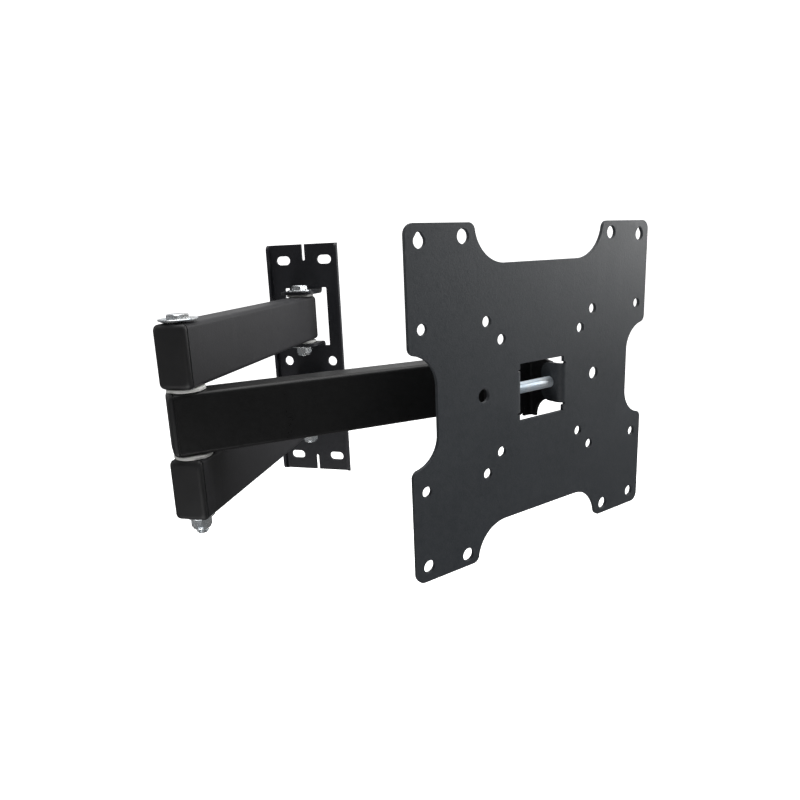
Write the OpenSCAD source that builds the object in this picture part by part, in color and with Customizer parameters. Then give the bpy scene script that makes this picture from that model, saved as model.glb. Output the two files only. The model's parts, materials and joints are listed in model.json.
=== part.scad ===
// Full motion TV wall mount: wall plate, two stacked wall arms, one forearm,
// a swivel head and a tilting TV plate. Millimetres.
// Frame: X to the right, +Y into the wall, +Z up. The origin is the centre of
// the wall plate's back face. The arms are drawn part open, as they rest.

/* [View] */
// which piece to draw

/* [Rest pose] */
// turn of the wall arms from straight out
arm_turn = 2.5; // [-60:0.5:60]
// angle between the wall arms and the forearm
elbow_open = 54; // [45:0.5:150]
// turn of the head from straight along the forearm
head_turn = 79.5; // [-60:0.5:90]
// lean of the TV plate, top towards the viewer
tilt_lean = 0; // [-15:0.5:15]

/* [Sheet steel] */
// thickness of the wall plate, the bracket and the TV plate
sheet_t = 2.5; // [1.5:0.1:4]
// inside radius of every fold
bend_r = 2; // [1:0.1:4]
// width of the relief cut beside a fold
relief_w = 1.5; // [1:0.1:4]

/* [Wall plate] */
// width across the side flanges
wall_w = 70; // [56:1:100]
// height
wall_h = 220; // [190:1:280]
// depth of the side flanges from the wall
flange_h = 8; // [6:0.5:12]
// corner radius at the ends of the side flanges
flange_r = 5; // [2:0.5:6]
// corner slots, centre to centre across
slot_dx = 41; // [30:0.5:60]
// corner slots, centre to centre up and down
slot_dz = 191; // [160:0.5:240]
// corner slot length
slot_l = 14; // [10:0.5:20]
// corner slot width
slot_w = 8; // [5:0.5:10]
// middle holes, centre to centre across
mid_dx = 45; // [36:0.5:50]
// middle hole diameter
mid_d = 9; // [5:0.5:11]
// width of the centre line notches
slit_w = 3; // [1:0.5:5]
// length of the centre line notches
slit_l = 15; // [8:0.5:22]
// width of the two windows
window_w = 42; // [38:0.5:46]
// corner radius of the two windows
window_r = 1; // [0.5:0.1:2]
// width of the pivot tabs
tab_w = 32; // [28:0.5:34]
// reach of the pivot tabs beyond the pivot
tab_end = 13; // [11:0.5:16]
// corner radius of the pivot tabs
tab_r = 9; // [4:0.5:12]
// relief cut past the fold of a pivot tab
tab_relief = 0.3; // [0.2:0.1:3]
// pivot distance from the wall
pivot_out = 16; // [16:0.5:20]

/* [Arms] */
// tube height
tube_h = 40; // [30:0.5:50]
// tube width
tube_w = 22; // [20:0.5:24]
// tube wall
tube_t = 1.5; // [1:0.1:2.5]
// outside corner radius of the tube
tube_r = 3; // [2:0.1:4]
// wall pivot to elbow
arm_len = 205; // [160:1:260]
// elbow to swivel
fore_len = 215; // [180:1:270]
// reach of a capped end beyond its pivot
end_reach = 12.5; // [12:0.5:15]
// air between tubes, and between a tube and the tab beside it
tube_gap = 2.5; // [2:0.1:4]
// cover thickness of an end cap
cap_t = 4; // [3:0.1:5]
// edge radius of an end cap, long sides
cap_side_r = 2.6; // [1:0.1:4]
// edge radius of an end cap, top and bottom
cap_top_r = 3.6; // [1:0.1:5]
// thickness of an end cap's two fins
cap_fin_t = 1.8; // [1:0.1:2]
// length of an end cap's two fins
cap_fin_l = 9; // [5:0.5:14]
// height of an end cap's two fins
cap_fin_h = 28; // [16:1:36]

/* [Pivot hardware] */
// bolt diameter
bolt_d = 8; // [6:0.5:8]
// across flats of bolt heads and nuts
hex_af = 13; // [10:0.5:13]
// bolt head height
head_h = 4.3; // [4:0.1:7]
// lock nut height
nut_h = 8; // [6:0.1:9]
// height of the round collar on top of a lock nut
nut_collar_h = 1.9; // [1:0.1:3]
// how far that collar stands in from the flats
collar_in = 0.6; // [0.4:0.1:1]
// edge chamfer of that collar
collar_edge = 0.7; // [0.3:0.1:1]
// bolt end showing past its nut
bolt_tail = 3.4; // [2:0.1:6]
// bolt end showing past its nut at the wall
wall_tail = 0.6; // [0.4:0.1:6]
// bolt end and head chamfer
chamfer = 0.8; // [0.3:0.1:1.2]
// steel washer diameter
washer_d = 22; // [17:0.5:24]
// steel washer thickness
washer_t = 1.2; // [1:0.1:2]
// diameter of the washer over the elbow's lock nut
small_washer_d = 18; // [15:0.5:22]
// small washer diameter at the tilt bolt
tilt_washer_d = 16; // [15:0.1:16]
// plastic pad diameter
pad_d = 24; // [18:0.5:26]
// gap left over a plastic pad, so that the joint can turn
pad_air = 0.3; // [0.3:0.05:0.5]
// outside diameter of the sleeves through the tubes
sleeve_d = 12; // [11:0.5:13]
// running clearance round a bolt, on the radius
run_gap = 0.05; // [0.02:0.01:0.1]
// clearance round a bolt in a plain hole, on the radius
free_gap = 0.2; // [0.1:0.05:0.4]
// diameter of the dished washer at the elbow
dish_d = 24; // [20:0.5:26]
// rise of the dished washer's rim
dish_rise = 1.6; // [0.5:0.1:3]
// thickness of the dished washer
dish_t = 1; // [0.8:0.1:2]
// flat of the dished washer showing round the bolt head's corners
dish_seat = 0.4; // [0.2:0.1:1]

/* [Swivel head] */
// swivel axis to the front of the TV plate
head_len = 60; // [54:0.5:80]
// tilt axis above the middle of the forearm
head_rise = 4; // [-4:0.5:6]
// tilt axis behind the back of the TV plate
tilt_room = 8.5; // [8.5:0.5:11.5]
// front of the TV plate to the front of the bracket's web
web_back = 32; // [28:0.5:36]
// half height of the straight part of a cheek
cheek_h = 14; // [10:0.5:16]
// radius of the hollow where a cheek widens
cheek_r = 14; // [8:0.5:16]
// narrowest place of that hollow in front of the web
hollow_out = 18.5; // [16:0.5:20]
// radius of a cheek's nose round the tilt bolt
nose_r = 7.8; // [6:0.1:8]
// width of the two swivel tongues
tongue_w = 28; // [24:0.5:30]
// thickness of the tilt pads
tilt_pad_t = 1; // [0.6:0.1:2]
// diameter of the tilt pads
tilt_pad_d = 14; // [12:0.5:14]

/* [TV plate] */
// width and height
tv_size = 220; // [214:1:270]
// outer corner radius
tv_corner_r = 6.5; // [3:0.5:8]
// radius where a notch meets the edge
mouth_r = 5; // [2:0.5:8]
// depth of the top and bottom notches
end_notch_d = 24.5; // [15:0.5:30]
// flat width of the top and bottom notches
end_notch_w = 69; // [50:1:90]
// depth of the side notches
side_notch_d = 20; // [10:0.5:24]
// flat height of the side notches
side_notch_w = 31; // [20:1:50]
// largest square hole spacing
vesa_l = 200; // [200:1:200]
// middle hole spacing
vesa_m = 100; // [100:1:100]
// smallest square hole spacing
vesa_s = 75; // [75:1:75]
// diameter of the small TV holes
vesa_hole = 7; // [5:0.1:8]
// diameter of the corner TV holes
corner_hole = 8.4; // [6:0.1:9]
// diameter of the tip of the two upper corner holes
drop_tip = 5.4; // [3:0.1:6]
// rise of the tip above the hole's centre
drop_rise = 2.6; // [1:0.1:4]
// extra hole diameter
extra_hole = 9; // [5:0.1:10]
// extra holes near the top and bottom, from the centre line
extra_x = 68; // [64:0.5:76]
// extra holes near the top and bottom, from the middle
extra_z = 102; // [98:0.5:103]
// extra holes at mid height, from the centre line
inner_x = 53; // [45:0.5:60]
// extra holes at mid height, above the middle
inner_z = 3; // [0:0.5:8]
// window width
tv_window_w = 42; // [36:0.5:46]
// window height
tv_window_h = 39; // [34:0.5:44]
// reach of the ears behind the tilt axis
ear_reach = 7.5; // [7.5:0.5:12]
// corner radius at the end of an ear
ear_r = 7.5; // [2:0.5:8]

/* [Hidden] */
$fn = 96;
eps = 0.5;
crown_in = 0.2;
arc_lap = 0.05;
fold_r = bend_r + sheet_t;
pad_t = tube_gap - pad_air;
arm_z = tube_h + tube_gap;
clevis_h = tube_h + 2 * tube_gap;
bore_r = bolt_d / 2 + run_gap;
hole_r = bolt_d / 2 + free_gap;
hex_r = hex_af / 2 / cos(30);
tube_end = end_reach - cap_t;
stack_h = tube_h / 2 + tube_gap + tube_h;
tab_reach = pivot_out + tab_end;
tv_half = tv_size / 2;
tilt_back = tilt_room + sheet_t;
tilt_y = head_len - tilt_back;
web_front = head_len - web_back;
ear_in = tv_window_w / 2 - sheet_t;
cheek_in = tv_window_w / 2 + pad_air + tilt_pad_t;
cheek_out = cheek_in + sheet_t;
bracket_z = tube_h / 2 + tube_gap + sheet_t;
nose_y = web_front - tilt_y + hollow_out;
steel = [0.13, 0.13, 0.14];
plug = [0.08, 0.08, 0.085];
zinc = [0.75, 0.76, 0.78];
nylon = [0.88, 0.88, 0.86];

// ---- frames of the moving pieces ----

module at_arms() {
  translate([0, -pivot_out, 0])
    rotate([0, 0, arm_turn])
      children();
}

module at_elbow() {
  at_arms()
    translate([0, -arm_len, 0])
      children();
}

module at_forearm() {
  at_elbow()
    rotate([0, 0, -elbow_open])
      children();
}

module at_swivel() {
  at_forearm()
    translate([0, fore_len, 0])
      rotate([0, 0, -head_turn])
        children();
}

module at_tilt() {
  at_swivel()
    translate([0, tilt_y, head_rise])
      children();
}

// the same thing at the upper and at the lower arm
module at_both_arms() {
  translate([0, 0, arm_z])
    children();
  translate([0, 0, -arm_z])
    children();
}

// a piece and its mirror image
module mirrored(v) {
  children();
  mirror(v)
    children();
}

// ---- shared shapes ----

module round_rect(w, h, r) {
  square([w - 2 * r, h], center = true);
  square([w, h - 2 * r], center = true);
  for (sx = [-1, 1], sy = [-1, 1])
    translate([sx * (w / 2 - r), sy * (h / 2 - r)])
      circle(r = r);
}

module stadium(l, w) {
  square([l - w, w], center = true);
  for (s = [-1, 1])
    translate([s * (l - w) / 2, 0])
      circle(d = w);
}

module disc(d, t, r) {
  difference() {
    cylinder(d = d, h = t);
    translate([0, 0, -eps])
      cylinder(r = r, h = t + 2 * eps);
  }
}

// a hexagon standing on Z, its upper corners turned off
module hex_body(h) {
  crown_r = hex_af / 2 - crown_in;
  intersection() {
    cylinder(r = hex_r, h = h, $fn = 6);
    rotate_extrude()
      polygon([[0, 0], [hex_r + eps, 0], [hex_r + eps, h - chamfer], [crown_r, h], [0, h]]);
  }
}

// a bolt whose head stands on z = 0 with its shank below
module hex_bolt(grip) {
  r = bolt_d / 2;
  hex_body(head_h);
  rotate([180, 0, 0])
    rotate_extrude()
      polygon([[0, -eps], [r, -eps], [r, grip - chamfer], [r - chamfer, grip], [0, grip]]);
}

// a lock nut hanging below z = 0, its collar down
module lock_nut() {
  r = hex_af / 2 - collar_in;
  difference() {
    rotate([180, 0, 0]) {
      hex_body(nut_h - nut_collar_h);
      rotate_extrude()
        polygon([[0, eps], [r, eps], [r, nut_h - collar_edge], [r - collar_edge, nut_h], [0, nut_h]]);
    }
    translate([0, 0, -nut_h - eps])
      cylinder(d = bolt_d, h = nut_h + 2 * eps);
  }
}

// a quarter of a fold in the XY plane, its hollow corner at the origin
module fold_corner() {
  intersection() {
    difference() {
      circle(r = fold_r);
      circle(r = bend_r);
    }
    translate([-fold_r, 0])
      square(fold_r);
  }
}

// a channel section in the XY plane: base from y = 0 to y = sheet_t, sides towards +Y
module channel(w, h) {
  translate([-w / 2 + fold_r, 0])
    square([w - 2 * fold_r, sheet_t]);
  for (s = [0, 1])
    mirror([s, 0]) {
      translate([w / 2 - fold_r, fold_r])
        rotate(180)
          fold_corner();
      translate([w / 2 - sheet_t, fold_r])
        square([sheet_t, h - fold_r]);
    }
}

// ---- wall plate ----

// the folded root and flat part of one pivot tab, for a clevis centred on z = 0
module pivot_tab() {
  root_z = clevis_h / 2 + fold_r;
  translate([-tab_w / 2, 0, 0])
    rotate([90, 0, 90])
      linear_extrude(tab_w) {
        translate([-fold_r, root_z])
          rotate(180)
            fold_corner();
        translate([-sheet_t, root_z])
          square([sheet_t, tab_relief + eps]);
      }
  translate([0, 0, clevis_h / 2])
    linear_extrude(sheet_t)
      difference() {
        union() {
          translate([-tab_w / 2, -tab_reach + tab_r])
            square([tab_w, tab_reach - tab_r - fold_r]);
          translate([-tab_w / 2 + tab_r, -tab_reach])
            square([tab_w - 2 * tab_r, tab_r]);
          for (s = [-1, 1])
            translate([s * (tab_w / 2 - tab_r), -tab_reach + tab_r])
              circle(r = tab_r);
        }
        translate([0, -pivot_out])
          circle(r = hole_r);
      }
}

module flange_end_cut() {
  translate([-wall_w / 2 - eps, -flange_h, wall_h / 2])
    rotate([90, 0, 90])
      linear_extrude(wall_w + 2 * eps)
        difference() {
          translate([-eps, -flange_r])
            square([flange_r + eps, flange_r + eps]);
          translate([flange_r, -flange_r])
            circle(r = flange_r);
        }
}

module wall_plate() {
  window_h = clevis_h + 2 * (fold_r + tab_relief);
  color(steel) {
    difference() {
      translate([0, 0, -wall_h / 2])
        linear_extrude(wall_h)
          mirror([0, 1])
            channel(wall_w, flange_h);
      mirrored([0, 0, 1])
        flange_end_cut();
      for (s = [-1, 1])
        translate([0, 0, s * arm_z])
          rotate([90, 0, 0])
            translate([0, 0, -eps])
              linear_extrude(sheet_t + 2 * eps)
                round_rect(window_w, window_h, window_r);
      rotate([90, 0, 0])
        translate([0, 0, -eps])
          linear_extrude(flange_h) {
            for (sx = [-1, 1], sz = [-1, 1])
              translate([sx * slot_dx / 2, sz * slot_dz / 2])
                stadium(slot_l, slot_w);
            for (sx = [-1, 1])
              translate([sx * mid_dx / 2, 0])
                circle(d = mid_d);
            for (sz = [-1, 1])
              translate([0, sz * (wall_h / 2 - slit_l / 2 + slit_w / 2)])
                rotate(90)
                  stadium(slit_l + slit_w, slit_w);
          }
    }
    at_both_arms()
      mirrored([0, 0, 1])
        pivot_tab();
  }
}

// ---- wall pivots ----

module at_wall_pivots() {
  at_both_arms()
    translate([0, -pivot_out, 0])
      children();
}

module wall_bolts() {
  color(zinc)
    at_wall_pivots()
      translate([0, 0, clevis_h / 2 + sheet_t + washer_t])
        hex_bolt(clevis_h + 2 * (sheet_t + washer_t) + nut_h + wall_tail);
}

module wall_nuts() {
  color(zinc)
    at_wall_pivots()
      translate([0, 0, -clevis_h / 2 - sheet_t - washer_t])
        lock_nut();
}

module wall_washers() {
  color(zinc)
    at_wall_pivots()
      mirrored([0, 0, 1])
        translate([0, 0, clevis_h / 2 + sheet_t])
          disc(washer_d, washer_t, hole_r);
}

module wall_pads() {
  color(nylon)
    at_wall_pivots()
      mirrored([0, 0, 1])
        translate([0, 0, clevis_h / 2 - pad_t])
          disc(pad_d, pad_t, hole_r);
}

// ---- arms ----

// a tube along Y from one capped end to the other, with a cross hole at each pivot
module tube(span) {
  difference() {
    translate([0, -tube_end, 0])
      rotate([-90, 0, 0])
        linear_extrude(span + 2 * tube_end)
          difference() {
            round_rect(tube_w, tube_h, tube_r);
            round_rect(tube_w - 2 * tube_t, tube_h - 2 * tube_t, tube_r - tube_t);
          }
    for (y = [0, span])
      translate([0, y, -tube_h])
        cylinder(d = sleeve_d, h = 2 * tube_h);
  }
}

module sleeve() {
  translate([0, 0, -tube_h / 2])
    disc(sleeve_d, tube_h, bore_r);
}

// an end cap closing a tube that ends at y = 0 and lies towards +Y
module end_cap() {
  fin_x = tube_w / 2 - tube_t - cap_fin_t;
  intersection() {
    rotate([90, 0, 0])
      linear_extrude(cap_t)
        round_rect(tube_w, tube_h, tube_r);
    translate([0, 0, -tube_h])
      linear_extrude(2 * tube_h)
        cover_section(tube_w, cap_side_r);
    translate([-tube_w, 0, 0])
      rotate([90, 0, 90])
        linear_extrude(2 * tube_w)
          mirror([1, -1])
            cover_section(tube_h, cap_top_r);
  }
  for (s = [0, 1])
    mirror([s, 0, 0])
      translate([fin_x, 0, -cap_fin_h / 2])
        cube([cap_fin_t, cap_fin_l, cap_fin_h]);
}

// a cover's section: flat along the X axis, rounded at its outer corners towards -Y
module cover_section(w, r) {
  translate([-w / 2, r - cap_t])
    square([w, cap_t - r]);
  translate([-w / 2 + r, -cap_t])
    square([w - 2 * r, cap_t]);
  for (s = [-1, 1])
    translate([s * (w / 2 - r), r - cap_t])
      circle(r = r);
}

module upper_arm() {
  color(steel)
    at_elbow()
      translate([0, 0, arm_z])
        tube(arm_len);
}

module lower_arm() {
  color(steel)
    at_elbow()
      translate([0, 0, -arm_z])
        tube(arm_len);
}

module arm_elbow_caps() {
  color(plug)
    at_elbow()
      at_both_arms()
        translate([0, -tube_end, 0])
          end_cap();
}

module arm_wall_caps() {
  color(plug)
    at_arms()
      at_both_arms()
        translate([0, tube_end, 0])
          mirror([0, 1, 0])
            end_cap();
}

module arm_sleeves() {
  color(zinc)
    at_elbow()
      for (y = [0, arm_len])
        translate([0, y, 0])
          at_both_arms()
            sleeve();
}

// ---- elbow ----

module elbow_bolt() {
  color(zinc)
    at_elbow()
      translate([0, 0, stack_h + dish_t])
        hex_bolt(2 * stack_h + dish_t + washer_t + nut_h + bolt_tail);
}

module elbow_nut() {
  color(zinc)
    at_elbow()
      translate([0, 0, -stack_h - washer_t])
        lock_nut();
}

// flat under the bolt head, with a raised rim
module elbow_dish_washer() {
  seat_r = hex_r + dish_seat;
  color(zinc)
    at_elbow()
      translate([0, 0, stack_h])
        rotate_extrude()
          polygon([
            [hole_r, 0],
            [seat_r, 0],
            [dish_d / 2, dish_rise],
            [dish_d / 2, dish_rise + dish_t],
            [seat_r, dish_t],
            [hole_r, dish_t]
          ]);
}

module elbow_flat_washer() {
  color(zinc)
    at_elbow()
      translate([0, 0, -stack_h - washer_t])
        disc(small_washer_d, washer_t, hole_r);
}

module elbow_pads() {
  color(nylon)
    at_elbow()
      mirrored([0, 0, 1])
        translate([0, 0, tube_h / 2 + pad_air])
          disc(pad_d, pad_t, hole_r);
}

// ---- forearm ----

module forearm() {
  color(steel)
    at_forearm()
      tube(fore_len);
}

module forearm_elbow_cap() {
  color(plug)
    at_forearm()
      translate([0, -tube_end, 0])
        end_cap();
}

module forearm_head_cap() {
  color(plug)
    at_forearm()
      translate([0, fore_len + tube_end, 0])
        mirror([0, 1, 0])
          end_cap();
}

module forearm_sleeves() {
  color(zinc)
    at_forearm()
      for (y = [0, fore_len])
        translate([0, y, 0])
          sleeve();
}

// ---- swivel head ----

// side view of the bracket, Y and Z from the tilt axis
module cheek_side() {
  reach = sqrt(pow(nose_y, 2) + pow(cheek_h, 2));
  lean = atan2(cheek_h, nose_y) - acos(nose_r / reach);
  touch_y = nose_r * cos(lean);
  touch_z = nose_r * sin(lean);
  circle(r = nose_r);
  polygon([[nose_y, cheek_h], [touch_y, touch_z], [touch_y, -touch_z], [nose_y, -cheek_h]]);
  difference() {
    translate([web_front - sheet_t - tilt_y - eps, -bracket_z - head_rise])
      square([nose_y - web_front + sheet_t + tilt_y + eps, 2 * bracket_z]);
    for (s = [-1, 1])
      translate([nose_y, s * (cheek_h + cheek_r)])
        circle(r = cheek_r);
    for (s = [-1, 1])
      translate([nose_y, s * (cheek_h + 2 * cheek_r)])
        square([2 * cheek_r, 2 * cheek_r], center = true);
  }
}

// one swivel tongue, folded back from the top of the web
module tongue() {
  rotate([90, 0, 90])
    translate([0, 0, -tongue_w / 2])
      linear_extrude(tongue_w) {
        translate([web_front - fold_r, bracket_z - fold_r])
          mirror([1, 0])
            fold_corner();
        translate([web_front - sheet_t, bracket_z - fold_r - relief_w - eps])
          square([sheet_t, relief_w + eps]);
      }
  translate([0, 0, bracket_z - sheet_t])
    linear_extrude(sheet_t)
      difference() {
        union() {
          translate([-tongue_w / 2, 0])
            square([tongue_w, web_front - fold_r]);
          circle(d = tongue_w);
        }
        circle(r = hole_r);
      }
}

module swivel_bracket() {
  cut_w = tongue_w + 2 * relief_w;
  color(steel)
    at_swivel() {
      difference() {
        intersection() {
          translate([0, web_front - sheet_t, -bracket_z])
            linear_extrude(2 * bracket_z)
              channel(2 * cheek_out, tilt_y + nose_r - web_front + sheet_t + eps);
          translate([-cheek_out - eps, tilt_y, head_rise])
            rotate([90, 0, 90])
              linear_extrude(2 * cheek_out + 2 * eps)
                cheek_side();
        }
        mirrored([0, 0, 1])
          translate([-cut_w / 2, web_front - sheet_t - eps, bracket_z - fold_r - relief_w])
            cube([cut_w, sheet_t + 2 * eps, fold_r + relief_w + eps]);
        translate([-cheek_out - eps, tilt_y, head_rise])
          rotate([0, 90, 0])
            cylinder(r = hole_r, h = 2 * cheek_out + 2 * eps);
      }
      mirrored([0, 0, 1])
        tongue();
    }
}

module swivel_bolt() {
  color(zinc)
    at_swivel()
      translate([0, 0, bracket_z + washer_t])
        hex_bolt(2 * (bracket_z + washer_t) + nut_h + bolt_tail);
}

module swivel_nut() {
  color(zinc)
    at_swivel()
      translate([0, 0, -bracket_z - washer_t])
        lock_nut();
}

module swivel_washers() {
  color(zinc)
    at_swivel()
      mirrored([0, 0, 1])
        translate([0, 0, bracket_z])
          disc(washer_d, washer_t, hole_r);
}

module swivel_pads() {
  color(nylon)
    at_swivel()
      mirrored([0, 0, 1])
        translate([0, 0, bracket_z - sheet_t - pad_t])
          disc(pad_d, pad_t, hole_r);
}

// ---- TV plate ----

// a notch cut in from an edge lying on the X axis, with rounded mouth corners
module edge_notch(flat_w, depth) {
  mouth_x = flat_w / 2 + sqrt(pow(depth + mouth_r - arc_lap, 2) - pow(mouth_r, 2));
  translate([-flat_w / 2, -depth])
    square([flat_w, depth + eps]);
  for (s = [0, 1])
    mirror([s, 0]) {
      translate([flat_w / 2, 0])
        circle(r = depth);
      difference() {
        polygon([[flat_w / 2, eps], [flat_w / 2, 0], [mouth_x, -mouth_r], [mouth_x, eps]]);
        translate([mouth_x, -mouth_r])
          circle(r = mouth_r);
      }
    }
}

module four_holes(dx, dz, d) {
  for (sx = [-1, 1], sz = [-1, 1])
    translate([sx * dx / 2, sz * dz / 2])
      circle(d = d);
}

module tv_outline() {
  difference() {
    round_rect(tv_size, tv_size, tv_corner_r);
    for (s = [0, 1])
      mirror([0, s])
        translate([0, tv_half])
          edge_notch(end_notch_w, end_notch_d);
    for (s = [0, 1])
      mirror([s, 0])
        translate([tv_half, 0])
          rotate(-90)
            edge_notch(side_notch_w, side_notch_d);
    square([tv_window_w, tv_window_h], center = true);
    square([tv_window_w + 2 * bend_r, 2 * cheek_h + 2 * relief_w], center = true);
    four_holes(vesa_l, vesa_l, corner_hole);
    for (s = [-1, 1])
      translate([s * vesa_l / 2, vesa_l / 2 + drop_rise])
        circle(d = drop_tip);
    four_holes(vesa_l, vesa_m, vesa_hole);
    four_holes(vesa_m, vesa_m, vesa_hole);
    four_holes(vesa_s, vesa_s, vesa_hole);
    four_holes(2 * extra_x, 2 * extra_z, extra_hole);
    for (s = [-1, 1])
      translate([s * inner_x, inner_z])
        circle(d = extra_hole);
  }
}

// one ear folded back from the window's edge, from the tilt axis
module ear() {
  fold_x = ear_in + fold_r;
  difference() {
    translate([0, 0, -cheek_h])
      linear_extrude(2 * cheek_h) {
        translate([fold_x, tilt_back - fold_r])
          fold_corner();
        translate([fold_x, tilt_back - sheet_t])
          square([eps, sheet_t]);
        translate([ear_in, -ear_reach])
          square([sheet_t, ear_reach + tilt_back - fold_r]);
      }
    rotate([0, 90, 0])
      cylinder(r = bore_r, h = tv_window_w);
    mirrored([0, 0, 1])
      translate([0, -ear_reach, cheek_h])
        rotate([90, 0, 90])
          linear_extrude(tv_window_w)
            difference() {
              translate([-eps, -ear_r])
                square([ear_r + eps, ear_r + eps]);
              translate([ear_r, -ear_r])
                circle(r = ear_r);
            }
  }
}

module tv_plate() {
  color(steel)
    at_tilt()
      rotate([-tilt_lean, 0, 0]) {
        translate([0, tilt_back, 0])
          rotate([90, 0, 0])
            linear_extrude(sheet_t)
              tv_outline();
        mirrored([1, 0, 0])
          ear();
      }
}

// ---- tilt pivot ----

module tilt_bolt() {
  color(zinc)
    at_tilt()
      translate([-cheek_out - washer_t, 0, 0])
        rotate([0, -90, 0])
          hex_bolt(2 * (cheek_out + washer_t) + nut_h + bolt_tail);
}

module tilt_nut() {
  color(zinc)
    at_tilt()
      translate([cheek_out + washer_t, 0, 0])
        rotate([0, -90, 0])
          lock_nut();
}

module tilt_washers() {
  color(zinc)
    at_tilt()
      mirrored([1, 0, 0])
        translate([cheek_out, 0, 0])
          rotate([0, 90, 0])
            disc(tilt_washer_d, washer_t, hole_r);
}

module tilt_pads() {
  color(nylon)
    at_tilt()
      mirrored([1, 0, 0])
        translate([cheek_in - tilt_pad_t, 0, 0])
          rotate([0, 90, 0])
            disc(tilt_pad_d, tilt_pad_t, hole_r);
}

wall_plate();
wall_bolts();
wall_nuts();
wall_washers();
wall_pads();
upper_arm();
lower_arm();
arm_elbow_caps();
arm_wall_caps();
arm_sleeves();
elbow_bolt();
elbow_nut();
elbow_dish_washer();
elbow_flat_washer();
elbow_pads();
forearm();
forearm_elbow_cap();
forearm_head_cap();
forearm_sleeves();
swivel_bracket();
swivel_bolt();
swivel_nut();
swivel_washers();
swivel_pads();
tv_plate();
tilt_bolt();
tilt_nut();
tilt_washers();
tilt_pads();
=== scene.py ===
import json
import math

import bmesh
import bpy
from mathutils import Euler, Matrix, Vector


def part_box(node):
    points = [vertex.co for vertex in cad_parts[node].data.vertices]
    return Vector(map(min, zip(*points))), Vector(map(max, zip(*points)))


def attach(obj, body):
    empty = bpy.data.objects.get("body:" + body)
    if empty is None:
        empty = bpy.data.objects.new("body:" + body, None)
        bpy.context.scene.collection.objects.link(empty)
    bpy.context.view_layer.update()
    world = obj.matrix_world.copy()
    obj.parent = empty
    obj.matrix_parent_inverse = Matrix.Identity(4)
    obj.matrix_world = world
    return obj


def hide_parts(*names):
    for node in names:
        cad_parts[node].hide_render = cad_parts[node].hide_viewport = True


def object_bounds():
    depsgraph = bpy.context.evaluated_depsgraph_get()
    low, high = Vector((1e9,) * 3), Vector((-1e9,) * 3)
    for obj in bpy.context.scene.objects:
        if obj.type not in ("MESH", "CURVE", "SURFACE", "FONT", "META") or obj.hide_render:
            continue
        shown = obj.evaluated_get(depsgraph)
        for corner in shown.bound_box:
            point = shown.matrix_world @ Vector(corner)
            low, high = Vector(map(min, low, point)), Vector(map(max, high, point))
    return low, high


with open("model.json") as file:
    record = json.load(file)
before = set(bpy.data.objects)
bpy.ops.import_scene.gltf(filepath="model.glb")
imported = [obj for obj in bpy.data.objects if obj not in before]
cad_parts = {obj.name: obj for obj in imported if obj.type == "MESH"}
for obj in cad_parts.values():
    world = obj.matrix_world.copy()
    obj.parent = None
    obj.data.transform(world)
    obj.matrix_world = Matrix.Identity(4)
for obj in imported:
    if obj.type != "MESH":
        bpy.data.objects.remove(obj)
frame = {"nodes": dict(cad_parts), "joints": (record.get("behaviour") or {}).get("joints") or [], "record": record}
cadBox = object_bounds()
nodes = frame["nodes"]
joints = {j["name"]: j for j in frame["joints"]}
mm = 0.001
print("frame loaded,", len(nodes), "CAD pieces")


# where things are, all read from the frame

def nodeMiddle(name):
    low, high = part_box(name)
    return (low + high) / 2


def jointPlace(name):
    return Vector(joints[name]["pos_m"])


wallPivot = jointPlace("wall_swing")
elbowPivot = jointPlace("elbow_fold")
swivelPivot = jointPlace("head_swivel")
tiltPivot = jointPlace("plate_tilt")
tiltAxis = Vector(joints["plate_tilt"]["axis"]).normalized()
upperLevel = nodeMiddle("upper_arm").z
lowerLevel = nodeMiddle("lower_arm").z
print("pivots found:", len(joints))


# nodes written as sums

class Signal:
    # one output socket; sums with numbers or other signals add Math nodes
    def __init__(self, graph, socket):
        self.graph = graph
        self.socket = socket

    def maths(self, operation, *others):
        values = dict(enumerate([self, *others]))
        return self.graph.add("ShaderNodeMath", {"operation": operation}, values)

    def __add__(self, other):
        return self.maths("ADD", other)

    def __radd__(self, other):
        return self.maths("ADD", other)

    def __mul__(self, other):
        return self.maths("MULTIPLY", other)

    def __rmul__(self, other):
        return self.maths("MULTIPLY", other)

    def __sub__(self, other):
        return self.maths("SUBTRACT", other)

    def __rsub__(self, other):
        return self.maths("MULTIPLY", -1) + other

    def __truediv__(self, other):
        return self.maths("DIVIDE", other)

    def limited(self, low, high):
        return self.maths("MAXIMUM", low).maths("MINIMUM", high)


class Graph:
    # adds nodes to one tree: a node's type, its settings, then its sockets
    def __init__(self, tree):
        self.tree = tree

    def add(self, kind, settings=None, sockets=None, out=0):
        node = self.tree.nodes.new(kind)
        for key, value in (settings or {}).items():
            setattr(node, key, value)
        for key, value in (sockets or {}).items():
            self.feed(node.inputs[key], value)
        return Signal(self, node.outputs[out]) if node.outputs else None

    def feed(self, socket, value):
        if isinstance(value, Signal):
            self.tree.links.new(value.socket, socket)
        elif isinstance(value, list):
            for part in value:
                self.feed(socket, part)
        else:
            socket.default_value = value

    def noise(self, vector, scale, detail=2.0, roughness=0.5):
        return self.add("ShaderNodeTexNoise", None, {
            "Vector": vector, "Scale": scale, "Detail": detail, "Roughness": roughness})

    def span(self, value, low, high):
        # 0 below low, 1 above high
        return self.add("ShaderNodeMapRange", None, {"Value": value, "From Min": low, "From Max": high})

    def mix(self, share, first, second):
        # by number, because the node has one set of equally named sockets for each kind of value
        return self.add("ShaderNodeMix", {"data_type": "RGBA"}, {0: share, 6: first, 7: second}, out=2)


def rgba(colour, gain=1.0):
    return (*[c * gain for c in colour], 1)


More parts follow.
